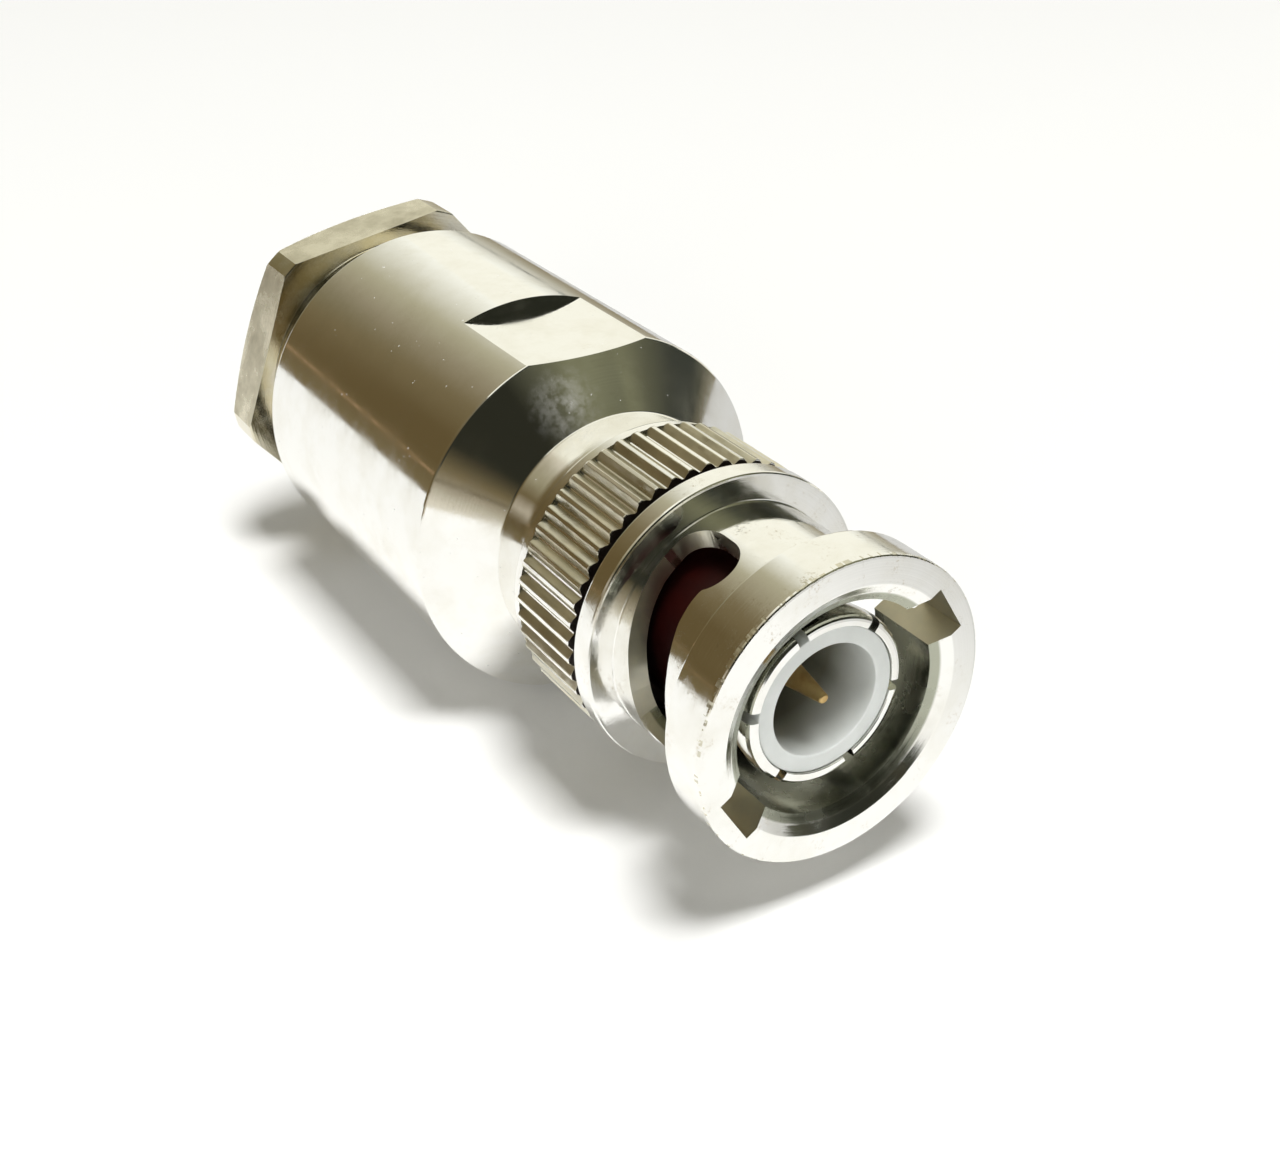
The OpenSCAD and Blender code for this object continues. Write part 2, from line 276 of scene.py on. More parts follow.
def mesh_object(name, verts, faces):
    """A new object whose faces all point outwards."""
    mesh = bpy.data.meshes.new(name)
    mesh.from_pydata(verts, [], faces)
    bm = bmesh.new()
    bm.from_mesh(mesh)
    bmesh.ops.remove_doubles(bm, verts=bm.verts, dist=1e-8)
    bmesh.ops.dissolve_degenerate(bm, edges=bm.edges, dist=1e-9)
    bmesh.ops.recalc_face_normals(bm, faces=bm.faces)
    bm.to_mesh(mesh)
    bm.free()
    piece = bpy.data.objects.new(name, mesh)
    bpy.context.scene.collection.objects.link(piece)
    return piece


def grid_faces(columns, rows, round_turn=False, closed=True):
    """Faces between neighbouring columns of points.

    round_turn joins the last column to the first, and closed joins a column's ends."""
    faces = []
    for i in range(columns if round_turn else columns - 1):
        j = (i + 1) % columns
        for k in range(rows if closed else rows - 1):
            m = (k + 1) % rows
            faces.append((i * rows + k, i * rows + m, j * rows + m, j * rows + k))
    return faces


def turned(name, outline, around, radius_at=None, shift_at=None):
    """Turns a closed (r, s) outline about the plug's axis.

    around is the number of even steps, or the list of angles. radius_at may change a
    point's radius, and shift_at moves the whole outline back by an amount."""
    angles = around
    if isinstance(around, int):
        angles = [2 * math.pi * i / around for i in range(around)]
    verts = []
    for turn in angles:
        shift = shift_at(turn) if shift_at else 0.0
        for r, s in outline:
            verts.append(place(radius_at(r, turn, s) if radius_at else r, turn, s + shift))
    return mesh_object(name, verts, grid_faces(len(angles), len(outline), round_turn=True))


def block(name, turn, low, high):
    """A box given as (r, across, s) corners, swung to an angle about the axis."""
    outward = Vector((0, math.sin(turn), math.cos(turn)))
    across = Vector((0, math.cos(turn), -math.sin(turn)))
    verts = []
    for r in (low[0], high[0]):
        for w in (low[1], high[1]):
            for s in (low[2], high[2]):
                verts.append(Vector((FRONT_X - s, 0, AXIS_Z)) + outward * r + across * w)
    faces = [(0, 1, 3, 2), (4, 6, 7, 5), (0, 4, 5, 1), (2, 3, 7, 6), (0, 2, 6, 4),
             (1, 5, 7, 3)]
    return mesh_object(name, verts, faces)


def carve(piece, cutters):
    """Cuts the cutters out of the piece and throws them away."""
    for cutter in cutters:
        cut = piece.modifiers.new("cut", "BOOLEAN")
        cut.operation = "DIFFERENCE"
        cut.solver = "EXACT"
        cut.object = cutter
    bpy.context.view_layer.update()
    ready = piece.evaluated_get(bpy.context.evaluated_depsgraph_get())
    mesh = bpy.data.meshes.new_from_object(ready)
    piece.modifiers.clear()
    piece.data = mesh
    for cutter in cutters:
        bpy.data.objects.remove(cutter)


def turned_shading(piece, slack=0.05):
    """Shades turned faces as true surfaces of revolution and leaves cut faces flat.

    Returns, for each face, whether it is a turned one."""
    mesh = piece.data
    mesh.shade_smooth()
    normals = [None] * len(mesh.loops)
    turned_faces = []
    for face in mesh.polygons:
        n = face.normal
        corners = []
        for loop in face.loop_indices:
            co = mesh.vertices[mesh.loops[loop].vertex_index].co
            y = co.y
            z = co.z - AXIS_Z
            r = math.hypot(y, z)
            if r < 1e-7:
                corners.append((loop, 0.0, n.copy()))
                continue
            around = (n.z * y - n.y * z) / r
            outward = (n.y * y + n.z * z) / r
            corners.append((loop, abs(around),
                            Vector((n.x, outward * y / r, outward * z / r)).normalized()))
        smooth = max(corner[1] for corner in corners) < slack
        turned_faces.append(smooth)
        for loop, around, normal in corners:
            normals[loop] = normal if smooth else n.copy()
    mesh.normals_split_custom_set(normals)
    return turned_faces


def finish_piece(piece, body, node, finish, milled=None):
    """Gives a piece its finish and body, and hides the plain solid it stands for.

    milled is the finish of the faces that were cut after turning."""
    turned_faces = turned_shading(piece)
    piece.data.materials.clear()
    piece.data.materials.append(material_named(finish))
    if milled:
        piece.data.materials.append(material_named(milled))
        for face, smooth in zip(piece.data.polygons, turned_faces):
            face.material_index = 0 if smooth else 1
    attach(piece, body)
    if node:
        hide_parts(node)


# ---------------------------------------------------------------- materials


def new_material(name):
    """A new material, its node tree and its Principled shader."""
    material = bpy.data.materials.new(name)
    material.use_nodes = True
    tree = material.node_tree
    return material, tree, tree.nodes["Principled BSDF"]


def add(tree, kind, **values):
    """A node with its properties set."""
    node = tree.nodes.new(kind)
    for key, value in values.items():
        setattr(node, key, value)
    return node


def feed(tree, socket, value):
    """Links a socket to another socket, or sets it to a number or a colour."""
    if isinstance(value, bpy.types.NodeSocket):
        tree.links.new(value, socket)
    elif isinstance(value, (int, float)):
        socket.default_value = value
    else:
        socket.default_value = (*value, 1.0)


def math_node(tree, operation, *values):
    """A Math node fed by sockets or numbers."""
    node = add(tree, "ShaderNodeMath", operation=operation)
    for socket, value in zip(node.inputs, values):
        feed(tree, socket, value)
    return node.outputs[0]


def times(tree, first, second):
    """The product of two values."""
    return math_node(tree, "MULTIPLY", first, second)


def add_share(tree, value, share, weight):
    """A value with a weighted second value added."""
    return math_node(tree, "ADD", value, times(tree, share, weight))


def split_xyz(tree, vector):
    """The X, Y and Z of a vector."""
    node = add(tree, "ShaderNodeSeparateXYZ")
    tree.links.new(vector, node.inputs[0])
    return node.outputs


def own_place(tree):
    """Each point's place in its object's own coordinates."""
    return add(tree, "ShaderNodeTexCoord").outputs["Object"]


def meridian(tree, spot):
    """Each point's place along and distance from the axis, alone and as one vector."""
    x, y, z = split_xyz(tree, spot)
    up = math_node(tree, "SUBTRACT", z, AXIS_Z)
    radius = math_node(tree, "SQRT", math_node(
        tree, "ADD", times(tree, up, up), times(tree, y, y)))
    both = add(tree, "ShaderNodeCombineXYZ")
    tree.links.new(x, both.inputs[0])
    tree.links.new(radius, both.inputs[1])
    return x, radius, both.outputs[0]


def noise(tree, vector, scale, detail=3.0, roughness=0.5):
    """A noise texture's factor."""
    node = add(tree, "ShaderNodeTexNoise")
    node.inputs["Scale"].default_value = scale
    node.inputs["Detail"].default_value = detail
    node.inputs["Roughness"].default_value = roughness
    tree.links.new(vector, node.inputs["Vector"])
    return node.outputs["Fac"]


def remap(tree, value, low, high, to_low=0.0, to_high=1.0):
    """Maps a value from one range to another, and clamps it."""
    node = add(tree, "ShaderNodeMapRange")
    for name, number in (("From Min", low), ("From Max", high),
                         ("To Min", to_low), ("To Max", to_high)):
        node.inputs[name].default_value = number
    tree.links.new(value, node.inputs["Value"])
    return node.outputs["Result"]


def mix_colour(tree, factor, first, second):
    """Mixes two colours, each a socket or three numbers."""
    node = add(tree, "ShaderNodeMix", data_type="RGBA")
    tree.links.new(factor, node.inputs["Factor"])
    feed(tree, node.inputs[6], first)
    feed(tree, node.inputs[7], second)
    return node.outputs[2]


def add_heights(tree, terms):
    """Sums (socket, weight) pairs into one height."""
    total = times(tree, *terms[0])
    for socket, weight in terms[1:]:
        total = add_share(tree, total, socket, weight)
    return total


def roughen(tree, shader, height, depth=0.004 * MM, strength=1.0):
    """Gives the shader a fine relief of a depth."""
    bump = add(tree, "ShaderNodeBump")
    bump.inputs["Strength"].default_value = strength
    bump.inputs["Distance"].default_value = depth
    tree.links.new(height, bump.inputs["Height"])
    tree.links.new(bump.outputs[0], shader.inputs["Normal"])


def smeared(tree, spot, middle, reach):
    """How much of a dried smear lies at each point: patchy, and gone beyond its reach."""
    away = add(tree, "ShaderNodeVectorMath", operation="DISTANCE")
    tree.links.new(spot, away.inputs[0])
    away.inputs[1].default_value = middle
    near = remap(tree, away.outputs["Value"], 0.0, reach, 1.0, 0.0)
    patchy = remap(tree, noise(tree, spot, 1500.0, 4.0, 0.65), 0.4, 0.66)
    return times(tree, near, patchy)


def turned_metal(name, bright, dull, rough, lines, wear=0.0, bore=None, groove=None,
                 smear=None):
    """Plated turned metal: faint tool lines round the axis, stains, haze, fine pitting and
    painted shade in a bore and a groove.

    lines is the height of the tool lines and wear is how pitted it is. bore is (radius, colour)
    of a bore with coarser tool lines whose darker colour is painted shade, and groove is (start,
    end, radius, colour) of a groove painted dark as shade. smear is the (middle, reach) of a
    dried smear with specks of dust."""
    material, tree, shader = new_material(name)
    spot = own_place(tree)
    x, radius, section = meridian(tree, spot)
    rings = noise(tree, section, 9000.0, 2.0)
    cloud = noise(tree, spot, 420.0, 5.0, 0.62)
    grain = noise(tree, spot, 6200.0, 2.0)
    shader.inputs["Metallic"].default_value = 1.0
    colour = mix_colour(tree, remap(tree, cloud, 0.44, 0.72), bright, dull)
    roughness = remap(tree, cloud, 0.42, 0.72, rough, rough * 3.4)
    heights = [(rings, lines), (grain, lines * 0.3)]
    if wear:
        patch = remap(tree, noise(tree, spot, 700.0, 3.0, 0.6), 0.54, 0.68)
        fine = remap(tree, noise(tree, spot, 5200.0, 4.0, 0.7), 0.52, 0.7)
        pits = times(tree, patch, fine)
        colour = mix_colour(tree, times(tree, pits, 0.7 * wear), colour,
                            bpy.context.scene.plug_finish.pits)
        roughness = add_share(tree, roughness, patch, 0.06 * wear)
        heights.append((pits, -0.9 * wear))
    # painted shade: the bore is darker inside the edge radius, with coarser, rougher tool lines
    if bore:
        edge, tone = bore
        inside = remap(tree, radius, edge - 0.1 * MM, edge, 1.0, 0.0)
        coarse = noise(tree, section, 5000.0, 2.0, 0.8)
        colour = mix_colour(tree, inside, colour, tone)
        roughness = add_share(tree, roughness, inside, 0.12)
        heights.append((times(tree, coarse, inside), 2.0))
    if groove:
        # painted shade: the narrow groove before the knurl is dark, and rougher
        start, end, edge, tone = groove
        between = math_node(tree, "COMPARE", x, FRONT_X - (start + end) / 2,
                            (end - start) / 2)
        sunk = times(tree, between, math_node(tree, "LESS_THAN", radius, edge))
        colour = mix_colour(tree, sunk, colour, tone)
        roughness = add_share(tree, roughness, sunk, 0.4)
    if smear:
        haze = smeared(tree, spot, *smear)
        dust = remap(tree, noise(tree, spot, 3800.0, 1.0), 0.775, 0.8, 0.0, 0.6)
        cover = math_node(tree, "MAXIMUM", times(tree, haze, 0.32), dust)
        tree.links.new(math_node(tree, "SUBTRACT", 1.0, cover), shader.inputs["Metallic"])
        roughness = add_share(tree, roughness, haze, 0.12)
    tree.links.new(colour, shader.inputs["Base Color"])
    tree.links.new(roughness, shader.inputs["Roughness"])
    roughen(tree, shader, add_heights(tree, heights))
    return material


def milled_metal(name, bright, dull, rough):
    """Plated metal that was milled: cloudy and satin, with fine straight marks."""
    material, tree, shader = new_material(name)
    spot = own_place(tree)
    stretch = add(tree, "ShaderNodeMapping")
    stretch.inputs["Scale"].default_value = (1.0, 0.12, 0.12)
    tree.links.new(spot, stretch.inputs["Vector"])
    cloud = noise(tree, spot, 520.0, 4.0, 0.6)
    marks = noise(tree, stretch.outputs[0], 7000.0, 2.0)
    grain = noise(tree, spot, 7000.0, 2.0)
    shader.inputs["Metallic"].default_value = 1.0
    tree.links.new(mix_colour(tree, remap(tree, cloud, 0.4, 0.7), bright, dull),
                   shader.inputs["Base Color"])
    tree.links.new(remap(tree, cloud, 0.3, 0.7, rough * 0.8, rough * 1.3),
                   shader.inputs["Roughness"])
    roughen(tree, shader, add_heights(tree, [(marks, 1.2), (grain, 0.8)]))
    return material


def soft_solid(name, colour, shade, rough, depth=0.01 * MM, scatter=0.0, deep=None):
    """A moulded or machined soft solid with a fine uneven surface.

    scatter is how much light goes in and comes out again, and deep is (start, end, colour) of
    painted shade that darkens it deeper in the plug."""
    material, tree, shader = new_material(name)
    spot = own_place(tree)
    cloud = noise(tree, spot, 900.0, 4.0)
    tone = mix_colour(tree, remap(tree, cloud, 0.35, 0.7), colour, shade)
    if deep:
        # painted shade: darker deeper in the plug
        start, end, dark = deep
        share = remap(tree, split_xyz(tree, spot)[0], FRONT_X - start, FRONT_X - end)
        tone = mix_colour(tree, share, tone, dark)
    tree.links.new(tone, shader.inputs["Base Color"])
    tree.links.new(remap(tree, cloud, 0.3, 0.7, rough * 0.85, rough * 1.15),
                   shader.inputs["Roughness"])
    roughen(tree, shader, noise(tree, spot, 5400.0), depth, 0.6)
    if scatter:
        shader.inputs["Subsurface Weight"].default_value = scatter
        shader.inputs["Subsurface Radius"].default_value = (1.0, 0.98, 0.95)
        shader.inputs["Subsurface Scale"].default_value = 0.8 * MM
    return material


def material_named(kind):
    """Each finish is made once and shared by its pieces."""
    found = bpy.data.materials.get(kind)
    if found:
        return found
    tone = bpy.context.scene.plug_finish
    smear = (place(7.5 * MM, math.radians(-16), 18.95 * MM), 2.0 * MM)
    # painted shade: the nut's bore is darker
    bore = (5.5 * MM, tone.bore)
    # painted shade: the groove before the knurl is dark
    groove = (9.55 * MM, 10.19 * MM, 7.24 * MM, tone.groove_shade)
    # painted shade: the insulator darkens from the cup's mouth to 4.4 mm in, and stays dark
    # behind it
    cup_floor = (SOCKET_FACE + 0.1 * MM, 4.4 * MM, tone.ptfe_cup_shade)
    # The maker of each finish and what it is told, in the order it asks for them.
    recipe = {
        "bright_nickel": (turned_metal, tone.nickel, tone.nickel_dull, 0.06, 0.4, 0.15),
        "body_nickel": (turned_metal, tone.nickel, tone.nickel_dull, 0.06, 0.4, 0.15,
                        None, None, smear),
        "worn_nickel": (turned_metal, tone.nickel, tone.nickel_dull, 0.07, 0.6, 1.0,
                        bore, groove),
        "stained_nickel": (turned_metal, tone.nickel_stained, tone.nickel_dull, 0.09, 0.8),
        "milled_nickel": (milled_metal, tone.nickel_stained, tone.nickel_deep, 0.26),
        "slot_nickel": (milled_metal, tone.nickel_cut, tone.nickel_stained, 0.32),
        "gold_plate": (turned_metal, tone.gold, tone.gold, 0.3, 0.5),
        "turned_brass": (turned_metal, tone.brass, tone.brass, 0.25, 1.0),
        "spring_strip": (turned_metal, tone.bronze, tone.bronze, 0.3, 0.6),
        "machined_ptfe": (soft_solid, tone.ptfe, tone.ptfe_shade, 0.42, 0.004 * MM, 0.2,
                          cup_floor),
        "moulded_silicone": (soft_solid, tone.silicone, tone.silicone_shade, 0.5),
        "moulded_rubber": (soft_solid, tone.rubber, tone.rubber_shade, 0.6),
    }
    make, *told = recipe[kind]
    return make(kind, *told)


# ---------------------------------------------------------------- coupling nut


def tooth_angles(sizes):
    """Angles that fall on every edge of every knurl tooth."""
    pitch = 2 * math.pi / sizes.teeth
    floor = sizes.knurl_floor / 2 / sizes.knurl_r
    edge = sizes.knurl_gap / 2 / sizes.knurl_r
    soft = EDGE / sizes.knurl_r
    half = [-floor, floor, (floor + edge) / 2, edge - soft, edge, edge + soft]
    marks = half + [pitch / 2] + [pitch - mark for mark in reversed(half[2:])]
    return [pitch * (k + 0.5) + mark for k in range(sizes.teeth) for mark in marks]


def uneven(across, along):
    """Smooth noise between about -1 and 1, for the nut's worn surface."""
    return mathutils.noise.noise(Vector((across, along, 0)))


def tooth_radius(sizes):
    """The nut's radius with its V grooves, its uneven crests and its nicked front edge."""
    pitch = 2 * math.pi / sizes.teeth
    edge = sizes.knurl_gap / 2
    floor = sizes.knurl_floor / 2
    start = sizes.knurl_s - 0.15 * MM
    nick_depth = 0.03 * MM
    crest_wave = 0.022 * MM
    edge_drop = 0.006 * MM

    def radius_at(r, turn, s):
        if s < NICK_END - 1e-9 and r > sizes.ring_r - 0.3 * MM:
            return r - nick_depth * max(0.0, uneven(turn * 40, s * 3000))
        if s < start or s > sizes.knurl_end - 1e-9 or r < sizes.groove_r:
            return r
        off = (turn / pitch - 0.5) % 1.0
        off = min(off, 1.0 - off) * pitch * sizes.knurl_r
        wave = crest_wave * uneven(round(turn / pitch * 2) * 3.1, s * 1900)
        slope = sizes.knurl_depth * (edge - off + wave) / (edge - floor)
        cut = min(sizes.knurl_depth, slope)
        if off > edge - EDGE:
            cut = max(0.0, cut) + edge_drop
        if off > edge + EDGE - 1e-9:
            cut = 0.0
        return min(r, sizes.knurl_r - cut)

    return radius_at


CAM_ROWS = (
    # turn from the notch in degrees, front edge and rear edge in mm
    (5, 4.04, 6.9), (14, 4.08, 6.95), (24, 4.18, 7.02), (35, 4.33, 7.18),
    (46, 4.5, 7.45), (57, 4.76, 7.68), (67, 5.0, 7.86), (76, 5.07, 8.0), (85, 5.03, 8.05),
)


def cam_edges(turn):
    """The ramp's front and rear edge at a turn in degrees, eased between the rows."""
    rows = CAM_ROWS
    if turn >= rows[-1][0]:
        return rows[-1][1] * MM, rows[-1][2] * MM
    for low, high in zip(rows, rows[1:]):
        if turn <= high[0]:
            u = (turn - low[0]) / (high[0] - low[0])
            return ((low[1] + (high[1] - low[1]) * u) * MM,
                    (low[2] + (high[2] - low[2]) * u) * MM)


def cam_cutter(sizes, start):
    """A cutter for one ramp and its detent pocket, with true radial walls."""
    inner = sizes.bore_r - 0.4 * MM
    outer = sizes.barrel_r + 0.3 * MM
    lock = math.degrees(sizes.lock_turn)
    half = math.degrees(sizes.pocket_r / sizes.barrel_r)
    turns = [CAM_ROWS[0][0] + k * (lock - CAM_ROWS[0][0]) / 60 for k in range(60)]
    turns += [lock + half * math.sin(math.radians(90 * k / 16)) for k in range(17)]
    columns = []
    for turn in turns:
        off = math.radians(turn - lock) * sizes.barrel_r
        chord = math.sqrt(max(sizes.pocket_r ** 2 - off ** 2, 0.0))
        front, rear = cam_edges(turn)
        pocket_front = sizes.pocket_s + sizes.pocket_r - chord
        pocket_rear = sizes.pocket_end - sizes.pocket_r + chord
        if turn > lock:
            front, rear = pocket_front, pocket_rear
        elif abs(off) < sizes.pocket_r:
            front, rear = min(front, pocket_front), max(rear, pocket_rear)
        columns.append((start + math.radians(turn), front, rear))
    verts = []
    for turn, front, rear in columns:
        verts += [place(inner, turn, front), place(outer, turn, front),
                  place(outer, turn, rear), place(inner, turn, rear)]
    last = len(verts) - 4
    faces = [(0, 1, 2, 3), *grid_faces(len(columns), 4),
             (last + 3, last + 2, last + 1, last)]
    return mesh_object("cam_cutter", verts, faces)


class PLUG_OT_coupling_nut(Operator):
    """Makes the turning nut with its cam slots, notches and straight knurl"""

    bl_idname = "plug.coupling_nut"
    bl_label = "Coupling nut"

    def execute(self, context):
        z = context.scene.plug_nut
        fine = 0.06
        nut = turned("coupling_nut_plated", rounded([
            (z.mouth_r, 0, 0.04), (z.ring_r, 0, 0.22), (z.ring_r, NICK_END),
            (z.ring_r, z.ring_len, 0.1), (z.barrel_r, z.ring_len, 0.12),
            (z.barrel_r, z.flange_s, 0.08), (z.flange_r, z.flange_s, 0.16),
            (z.flange_r, z.flange_end, 0.12), (z.groove_r, z.flange_end, fine),
            (z.groove_r, z.knurl_s - 0.1 * MM, fine),
            (z.knurl_r, z.knurl_s - 0.1 * MM, 0.08),
            *[(z.knurl_r, z.knurl_s + 0.25 * MM * k) for k in range(1, 18)],
            (z.knurl_r, z.knurl_end, 0.12), (z.rim_r, z.knurl_end, fine),
            (z.rim_r, NUT_END, 0.1), (z.lip_r, NUT_END, fine),
            (z.lip_r, z.lip_s, fine), (z.bore_r, z.lip_s, fine), (z.bore_r, 0.5 * MM),
        ]), tooth_angles(z), tooth_radius(z))
        cutters = []
        for side in (0, math.pi):
            start = z.notch_at + side
            cutters.append(block("notch_cutter", start,
                                 (z.bore_r - 0.6 * MM, -z.notch_w / 2, -1 * MM),
                                 (z.notch_r, z.notch_w / 2, z.notch_end)))
            cutters.append(cam_cutter(z, start))
        carve(nut, cutters)
        finish_piece(nut, "turning_nut", "coupling_nut",
                     "worn_nickel", "slot_nickel")
        return {"FINISHED"}


# ---------------------------------------------------------------- contacts


class PLUG_OT_outer_contact(Operator):
    """Makes the slit spring fingers and the hub behind them"""

    bl_idname = "plug.outer_contact"
    bl_label = "Outer contact"

    def execute(self, context):
        z = context.scene.plug_core
        crest = TIP + 0.55 * MM
        contact = turned("outer_contact_plated", rounded([
            (z.sleeve_bore, TIP, 0.05), (z.finger_r - 0.1 * MM, TIP, 0.3),
            (z.finger_r, crest, 0.35), (z.finger_r - 0.03 * MM, crest + 0.6 * MM, 0.3),
            (z.sleeve_r, TIP + 2.4 * MM, 0.3), (z.sleeve_r, z.shoulder_s, 0.05),
            (SHOULDER_R, z.shoulder_s, 0.1), (SHOULDER_R, z.shoulder_end, 0.05),
            (z.hub_r, z.shoulder_end, 0.05), (z.hub_r, CORE_END, 0.05),
            (z.sleeve_bore, CORE_END, 0.05),
        ], 4), 180)
        carve(contact, [
            block("slit_cutter", z.slit_at + 2 * math.pi * k / z.slits,
                  (2 * MM, -z.slit_w / 2, 0), (5 * MM, z.slit_w / 2, z.slit_end))
            for k in range(z.slits)])
        finish_piece(contact, "plug", "outer_contact",
                     "bright_nickel")
        return {"FINISHED"}


class PLUG_OT_centre_contact(Operator):
    """Makes the gold pin with its stem, collar and solder cup"""

    bl_idname = "plug.centre_contact"
    bl_label = "Centre contact"

    def execute(self, context):
        z = context.scene.plug_core
        collar_r, collar_s, collar_end = 2.2 * MM, 16.02 * MM, 17.2 * MM
        cup_r, cup_bore, cup_s, cup_floor = 1.6 * MM, 1.15 * MM, 18.2 * MM, 17.6 * MM
        pin = turned("centre_contact_gold", rounded([
            (0, PIN_TIP), (0.23 * MM, PIN_TIP, 0.18),
            (z.pin_r, PIN_TIP + 2.9 * MM, 0.5), (z.pin_r, z.stem_s),
            (z.stem_r, z.stem_s, 0.03), (z.stem_r, collar_s),
            (collar_r, collar_s, 0.05), (collar_r, collar_end, 0.05),
            (cup_r, collar_end), (cup_r, PIN_END, 0.1),
            (cup_bore, PIN_END, 0.05), (cup_bore, cup_s), (0, cup_floor),
        ], 5), 96)
        finish_piece(pin, "plug", "centre_contact", "gold_plate")
        return {"FINISHED"}


class PLUG_OT_insulators(Operator):
    """Makes the white cup round the pin and finishes the disc behind it"""

    bl_idname = "plug.insulators"
    bl_label = "Insulators"

    def execute(self, context):
        z = context.scene.plug_core
        wall = z.sleeve_bore - CLEAR
        stem = z.stem_r + CLEAR
        cup = turned("front_insulator_cup", rounded([
            (z.socket_r, SOCKET_FACE, 0.08), (wall, SOCKET_FACE, 0.06),
            (wall, SOCKET_BACK, 0.06), (stem, SOCKET_BACK, 0.04),
            (stem, z.socket_end, 0.04), (z.socket_r, z.socket_end, 0.25),
        ], 4), 144)
        finish_piece(cup, "plug", "front_insulator", "machined_ptfe")
        frame["nodes"]["rear_insulator"].data.materials[0] = material_named("machined_ptfe")
        return {"FINISHED"}


class PLUG_OT_front_gasket(Operator):
    """Makes the dark red gasket with its thin skirt round the outer contact"""

    bl_idname = "plug.front_gasket"
    bl_label = "Front gasket"

    def execute(self, context):
        z = context.scene.plug_core
        inner = z.sleeve_r + CLEAR
        skirt = 4.05 * MM
        ring = GASKET_END - 1.48 * MM
        gasket = turned("front_gasket_silicone", rounded([
            (inner, GASKET_START, 0.05), (skirt, GASKET_START, 0.08),
            (skirt, ring, 0.3), (GASKET_R, ring, 0.25),
            (GASKET_R, GASKET_END, 0.05), (inner, GASKET_END, 0.05),
        ], 4), 144)
        finish_piece(gasket, "plug", "front_gasket",
                     "moulded_silicone")
        return {"FINISHED"}


# ---------------------------------------------------------------- body and clamp


class PLUG_OT_body(Operator):
    """Makes the neck, cone and grip with its wrench flats"""

    bl_idname = "plug.body"
    bl_label = "Body"

    def execute(self, context):
        z = context.scene.plug_body
        hub = context.scene.plug_core.hub_r + CLEAR
        female = z.thread_r + 0.05 * MM
        body = turned("body_plated", rounded([
            (hub, BODY_START), (z.neck_r, BODY_START, 0.12),
            (z.neck_r, z.cone_s, 0.08), (GRIP_R, z.grip_s, 0.1),
            (GRIP_R, BODY_END, 0.1), (female + 0.3 * MM, BODY_END, 0.05),
            (female, BODY_END - 0.35 * MM, 0.05), (female, z.thread_s),
            (z.chamber_r, z.thread_s, 0.05), (z.chamber_r, z.chamber_s),
            (z.inside_r, z.inside_end), (z.inside_r, z.disc_end), (z.disc_r, z.disc_end),
            (z.disc_r, CORE_END), (hub, CORE_END),
        ]), FULL_STEPS)
        carve(body, [
            block("flat_cutter", side, (z.flat_r, -12 * MM, z.cone_s - 1 * MM),
                  (12 * MM, 12 * MM, z.flat_end))
            for side in (0, math.pi)])
        finish_piece(body, "plug", "body", "body_nickel")
        return {"FINISHED"}


def thread_sleeve(name, sizes, start, end, steps=96):
    """A right-hand screw surface between two places, with its ends run out.

    flank is the height of one turn of the thread, from root to root."""
    flank = [0.0, 0.0, 0.28, 0.62, 0.95, 1.0, 0.95, 0.62, 0.28, 0.0]
    rows = len(flank)
    root = sizes.thread_r - THREAD_DEPTH * sizes.pitch
    count = int((end - start) / sizes.pitch * rows) + 2 * rows
    verts = []
    for i in range(steps):
        turn = 2 * math.pi * i / steps
        for k in range(count):
            s = start + sizes.pitch * (k / rows - 1 + i / steps)
            fade = min(1.0, max(0.0, (s - start) / sizes.pitch),
                       max(0.0, (end - s) / sizes.pitch))
            high = root + (sizes.thread_r - root) * flank[k % rows] * fade
            verts.append(place(high if 0 < fade else root - 0.05 * MM, turn,
                               min(max(s, start), end)))
    faces = []
    for i in range(steps):
        wrap = i == steps - 1
        j = 0 if wrap else i + 1
        shift = rows if wrap else 0
        for k in range(count - 1):
            if k + 1 + shift >= count:
                continue
            faces.append((i * count + k, i * count + k + 1,
                          j * count + k + 1 + shift, j * count + k + shift))
    return mesh_object(name, verts, faces)


class PLUG_OT_clamp_nut(Operator):
    """Makes the hexagonal clamp nut and its thread"""

    bl_idname = "plug.clamp_nut"
    bl_label = "Clamp nut"

    def execute(self, context):
        z = context.scene.plug_body
        root = z.thread_r - THREAD_DEPTH * z.pitch + CLEAR
        drop = (z.corner_r - z.bevel_r) * math.tan(math.radians(30))
        nut = turned("clamp_nut_plated", rounded([
            (z.cable_r, THREAD_START, 0.1), (root, THREAD_START, 0.3),
            (root, z.thread_end - 0.1 * MM), (z.thread_r, z.thread_end + 0.3 * MM, 0.1),
            (z.thread_r, z.hex_s, 0.08), (z.corner_r, z.hex_s, 0.1),
            (z.corner_r, OVERALL - drop, 0.1), (z.bevel_r, OVERALL, 0.1),
            (z.cable_r + 0.5 * MM, OVERALL, 0.05), (z.cable_r, OVERALL - 0.5 * MM, 0.05),
        ]), FULL_STEPS)
        carve(nut, [
            block("hex_cutter", z.hex_at + math.radians(30 + 60 * k),
                  (z.across / 2, -9 * MM, z.hex_s - 1 * MM),
                  (z.across / 2 + 4 * MM, 9 * MM, OVERALL + 1 * MM))
            for k in range(6)])
        finish_piece(nut, "rear_nut", "clamp_nut", "stained_nickel", "milled_nickel")
        thread = thread_sleeve("clamp_nut_thread", z, THREAD_START + 0.3 * MM, z.thread_end)
        finish_piece(thread, "rear_nut", None, "bright_nickel")
        return {"FINISHED"}


